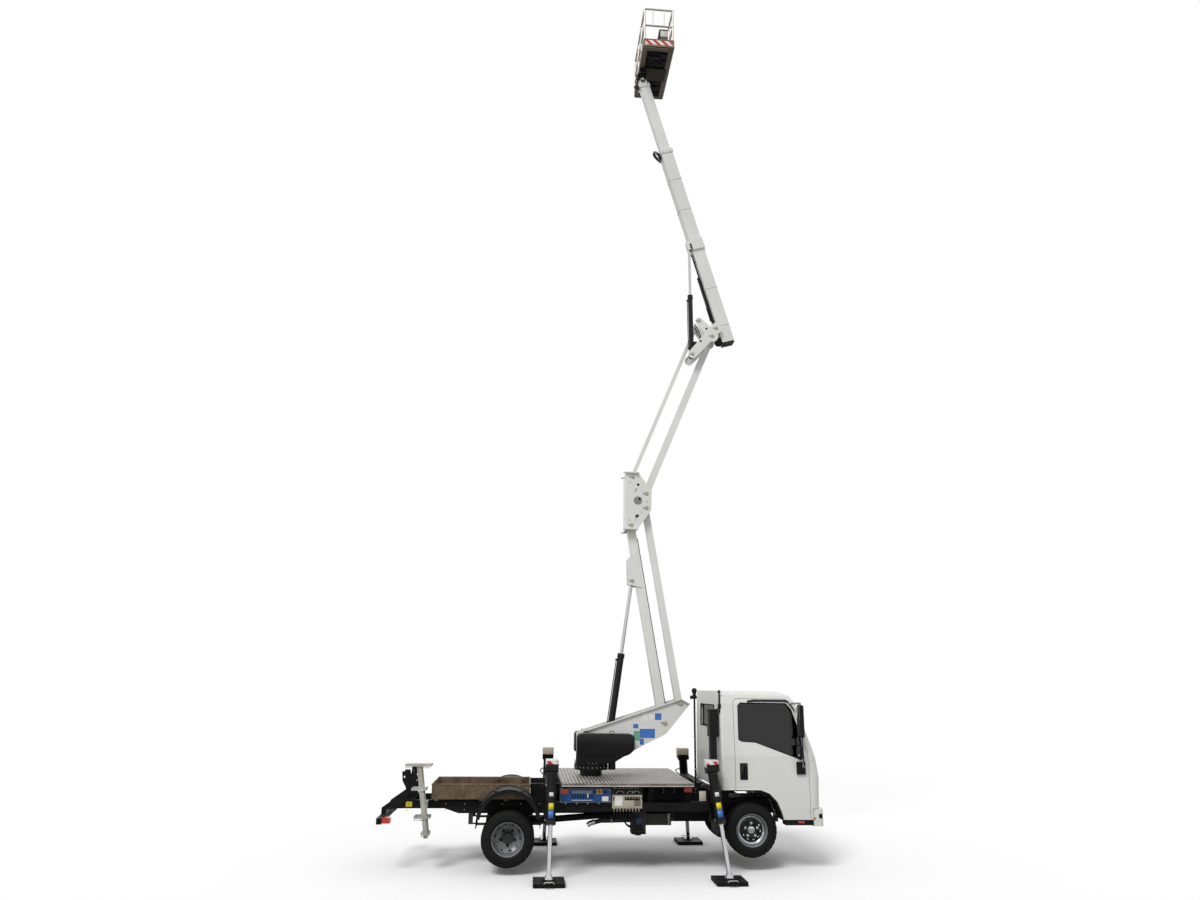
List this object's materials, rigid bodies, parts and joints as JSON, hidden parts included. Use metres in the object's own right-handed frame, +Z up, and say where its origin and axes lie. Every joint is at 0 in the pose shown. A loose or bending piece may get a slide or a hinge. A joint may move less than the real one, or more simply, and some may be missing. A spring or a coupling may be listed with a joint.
{
  "type": "cherry picker truck",
  "caption": "Small truck with a slewing double-parallelogram boom, a telescopic boom and a work basket, raised on its outriggers.",
  "frame": {"origin": "middle of the base of the bounding box, on the ground under the outrigger pads", "axes": "+X to the front of the truck, +Y to its left, +Z up"},
  "size_m": [6.12, 3.266, 14.1765],
  "materials": {
    "white_paint": "satin",
    "black_paint": "satin",
    "tread_plate": "worn",
    "grey_steel": "satin",
    "chrome": "polished",
    "tyre": "moulded",
    "wheel_steel": "satin",
    "glass": "tinted",
    "black_plastic": "moulded",
    "lamp_red": "gloss",
    "panel_blue": "satin",
    "seat_fabric": "woven"
  },
  "bodies": {
    "root": {"chassis_frame": "black_paint", "subframe": "black_paint", "deck": "tread_plate", "tray": "tread_plate", "boom_rest": "black_paint", "steps": "tread_plate", "mudguards": "black_plastic", "axles": "black_paint", "powertrain": "black_paint", "control_boxes": "panel_blue", "lamps": "lamp_red", "cab_shell": "white_paint", "cab_glass": "glass", "front_bumper": "white_paint", "cab_trim": "black_plastic", "cab_interior": "seat_fabric", "intake_stack": "black_plastic", "slew_base": "black_paint"},
    "leg_rear_right": {"leg_rear_right": "chrome", "pad_rear_right": "black_paint"},
    "leg_rear_left": {"leg_rear_left": "chrome", "pad_rear_left": "black_paint"},
    "leg_front_right": {"leg_front_right": "chrome", "pad_front_right": "black_paint"},
    "leg_front_left": {"leg_front_left": "chrome", "pad_front_left": "black_paint"},
    "steering_knuckle_right": {"steering_knuckle_right": "black_paint"},
    "wheel_front_right": {"tyre_front_right": "tyre", "rim_front_right": "wheel_steel"},
    "wheel_rear_right": {"tyres_rear_right": "tyre", "rims_rear_right": "wheel_steel"},
    "door_right": {"door_right": "white_paint", "door_glass_right": "glass", "mirror_right": "black_plastic"},
    "steering_knuckle_left": {"steering_knuckle_left": "black_paint"},
    "wheel_front_left": {"tyre_front_left": "tyre", "rim_front_left": "wheel_steel"},
    "wheel_rear_left": {"tyres_rear_left": "tyre", "rims_rear_left": "wheel_steel"},
    "door_left": {"door_left": "white_paint", "door_glass_left": "glass", "mirror_left": "black_plastic"},
    "turret": {"turret_arm": "white_paint", "turret_covers": "black_paint"},
    "lower_boom": {"lower_boom": "white_paint"},
    "lower_tie": {"lower_tie": "white_paint"},
    "knuckle_link": {"knuckle_link": "white_paint"},
    "upper_boom": {"upper_boom": "white_paint"},
    "upper_tie": {"upper_tie": "white_paint"},
    "upper_link": {"upper_link": "white_paint"},
    "boom_base": {"boom_base": "white_paint"},
    "boom_mid": {"boom_mid": "white_paint"},
    "boom_tip": {"boom_tip": "white_paint"},
    "lower_cylinder_barrel": {"lower_cylinder_barrel": "black_paint"},
    "lower_cylinder_rod": {"lower_cylinder_rod": "chrome"},
    "upper_cylinder_barrel": {"upper_cylinder_barrel": "black_paint"},
    "upper_cylinder_rod": {"upper_cylinder_rod": "chrome"},
    "basket_bracket": {"basket_bracket": "black_paint"},
    "basket": {"basket_tub": "tread_plate", "basket_rails": "grey_steel"}
  },
  "joints": [
    {"name": "jack_rear_right", "type": "slide", "parent": "root", "child": "leg_rear_right", "axis": [-0.0153, -0.2353, -0.9718], "range_m": [-0.42, 0]},
    {"name": "jack_rear_left", "type": "slide", "parent": "root", "child": "leg_rear_left", "axis": [-0.0153, 0.2353, -0.9718], "range_m": [-0.42, 0]},
    {"name": "jack_front_right", "type": "slide", "parent": "root", "child": "leg_front_right", "axis": [0.1003, -0.2341, -0.967], "range_m": [-0.42, 0]},
    {"name": "jack_front_left", "type": "slide", "parent": "root", "child": "leg_front_left", "axis": [0.1003, 0.2341, -0.967], "range_m": [-0.42, 0]},
    {"name": "steering", "type": "hinge", "parent": "root", "child": "steering_knuckle_right", "pos_m": [2.051, -0.59, 0.536], "axis": [0, 0, 1], "range_deg": [-35, 35]},
    {"name": "wheel_front_right_spin", "type": "hinge", "parent": "steering_knuckle_right", "child": "wheel_front_right", "pos_m": [2.051, -0.697, 0.536], "axis": [0, 1, 0], "continuous": true},
    {"name": "wheel_rear_right_spin", "type": "hinge", "parent": "root", "child": "wheel_rear_right", "pos_m": [-1.303, -0.712, 0.452], "axis": [0, 1, 0], "continuous": true},
    {"name": "door_right_hinge", "type": "hinge", "parent": "root", "child": "door_right", "pos_m": [2.847, -0.868, 1.2], "axis": [0, 0, 1], "range_deg": [0, 65]},
    {"name": "steering_left", "type": "hinge", "parent": "root", "child": "steering_knuckle_left", "pos_m": [2.051, 0.59, 0.536], "axis": [0, 0, 1], "range_deg": [-35, 35]},
    {"name": "wheel_front_left_spin", "type": "hinge", "parent": "steering_knuckle_left", "child": "wheel_front_left", "pos_m": [2.051, 0.697, 0.536], "axis": [0, 1, 0], "continuous": true},
    {"name": "wheel_rear_left_spin", "type": "hinge", "parent": "root", "child": "wheel_rear_left", "pos_m": [-1.303, 0.712, 0.452], "axis": [0, 1, 0], "continuous": true},
    {"name": "door_left_hinge", "type": "hinge", "parent": "root", "child": "door_left", "pos_m": [2.847, 0.868, 1.2], "axis": [0, 0, -1], "range_deg": [0, 65]},
    {"name": "slew", "type": "hinge", "parent": "root", "child": "turret", "pos_m": [-0.131, 0, 1.262], "axis": [0, 0, 1], "range_deg": [0, 360]},
    {"name": "lower_boom_lift", "type": "hinge", "parent": "turret", "child": "lower_boom", "pos_m": [0.944, 0, 1.935], "axis": [0, 1, 0], "range_deg": [-82.4, 0]},
    {"name": "lower_tie_pivot", "type": "hinge", "parent": "turret", "child": "lower_tie", "pos_m": [1.184, 0, 2.215], "axis": [0, 1, 0], "range_deg": [-82.4, 0]},
    {"name": "knuckle_pivot", "type": "hinge", "parent": "lower_boom", "child": "knuckle_link", "pos_m": [0.44103, 0, 4.90876], "axis": [0, 1, 0], "range_deg": [0, 82.4]},
    {"name": "upper_boom_pivot", "type": "hinge", "parent": "knuckle_link", "child": "upper_boom", "pos_m": [0.68002, 0, 5.41976], "axis": [0, -1, 0], "range_deg": [-61.88, 0]},
    {"name": "upper_tie_pivot", "type": "hinge", "parent": "knuckle_link", "child": "upper_tie", "pos_m": [0.46003, 0, 5.68676], "axis": [0, -1, 0], "range_deg": [-61.88, 0]},
    {"name": "upper_link_pivot", "type": "hinge", "parent": "upper_boom", "child": "upper_link", "pos_m": [1.79471, 0, 8.16078], "axis": [0, -1, 0], "range_deg": [0, 61.88]},
    {"name": "lower_cylinder_pivot", "type": "hinge", "parent": "turret", "child": "lower_cylinder_barrel", "pos_m": [0.132, 0, 1.69], "axis": [0, 1, 0], "range_deg": [-95.89, 0]},
    {"name": "lower_cylinder_stroke", "type": "slide", "parent": "lower_cylinder_barrel", "child": "lower_cylinder_rod", "axis": [0.1407, 0, 0.9901], "range_m": [-1.0352, 0]},
    {"name": "boom_luff", "type": "hinge", "parent": "upper_link", "child": "boom_base", "pos_m": [1.86471, 0, 8.30778], "axis": [0, 1, 0], "range_deg": [-74, 0]},
    {"name": "upper_cylinder_pivot", "type": "hinge", "parent": "upper_link", "child": "upper_cylinder_barrel", "pos_m": [1.45771, -0.07, 7.82478], "axis": [0, 1, 0], "range_deg": [-66.6, 0]},
    {"name": "upper_cylinder_stroke", "type": "slide", "parent": "upper_cylinder_barrel", "child": "upper_cylinder_rod", "axis": [-0.0091, 0, 1], "range_m": [-0.7321, 0]},
    {"name": "extend_mid", "type": "slide", "parent": "boom_base", "child": "boom_mid", "axis": [-0.2756, 0, 0.9613], "range_m": [-1.3, 1.6]},
    {"name": "extend_tip", "type": "slide", "parent": "boom_mid", "child": "boom_tip", "axis": [-0.2756, 0, 0.9613], "range_m": [0, 2.6]},
    {"name": "basket_level", "type": "hinge", "parent": "boom_tip", "child": "basket_bracket", "pos_m": [0.64128, 0, 13.15846], "axis": [0, 1, 0], "range_deg": [0, 74]},
    {"name": "basket_rotate", "type": "hinge", "parent": "basket_bracket", "child": "basket", "pos_m": [0.64128, 0, 13.28997], "axis": [0, 0, 1], "range_deg": [-90, 90]}
  ],
  "couplings": [
    {"joint": "steering_left", "follows": "steering", "ratio": 1},
    {"joint": "lower_tie_pivot", "follows": "lower_boom_lift", "ratio": 1},
    {"joint": "knuckle_pivot", "follows": "lower_boom_lift", "ratio": -1},
    {"joint": "upper_boom_pivot", "follows": "lower_boom_lift", "ratio": 0.75085},
    {"joint": "upper_tie_pivot", "follows": "lower_boom_lift", "ratio": 0.75085},
    {"joint": "upper_link_pivot", "follows": "lower_boom_lift", "ratio": -0.75085},
    {"joint": "lower_cylinder_pivot", "follows": "lower_boom_lift", "ratio": 1.1637},
    {"joint": "lower_cylinder_stroke", "follows": "lower_boom_lift", "m_per_rad": 0.71979},
    {"joint": "upper_cylinder_pivot", "follows": "boom_luff", "ratio": 0.8999},
    {"joint": "upper_cylinder_stroke", "follows": "boom_luff", "m_per_rad": 0.56682},
    {"joint": "basket_level", "follows": "boom_luff", "ratio": -1}
  ]
}
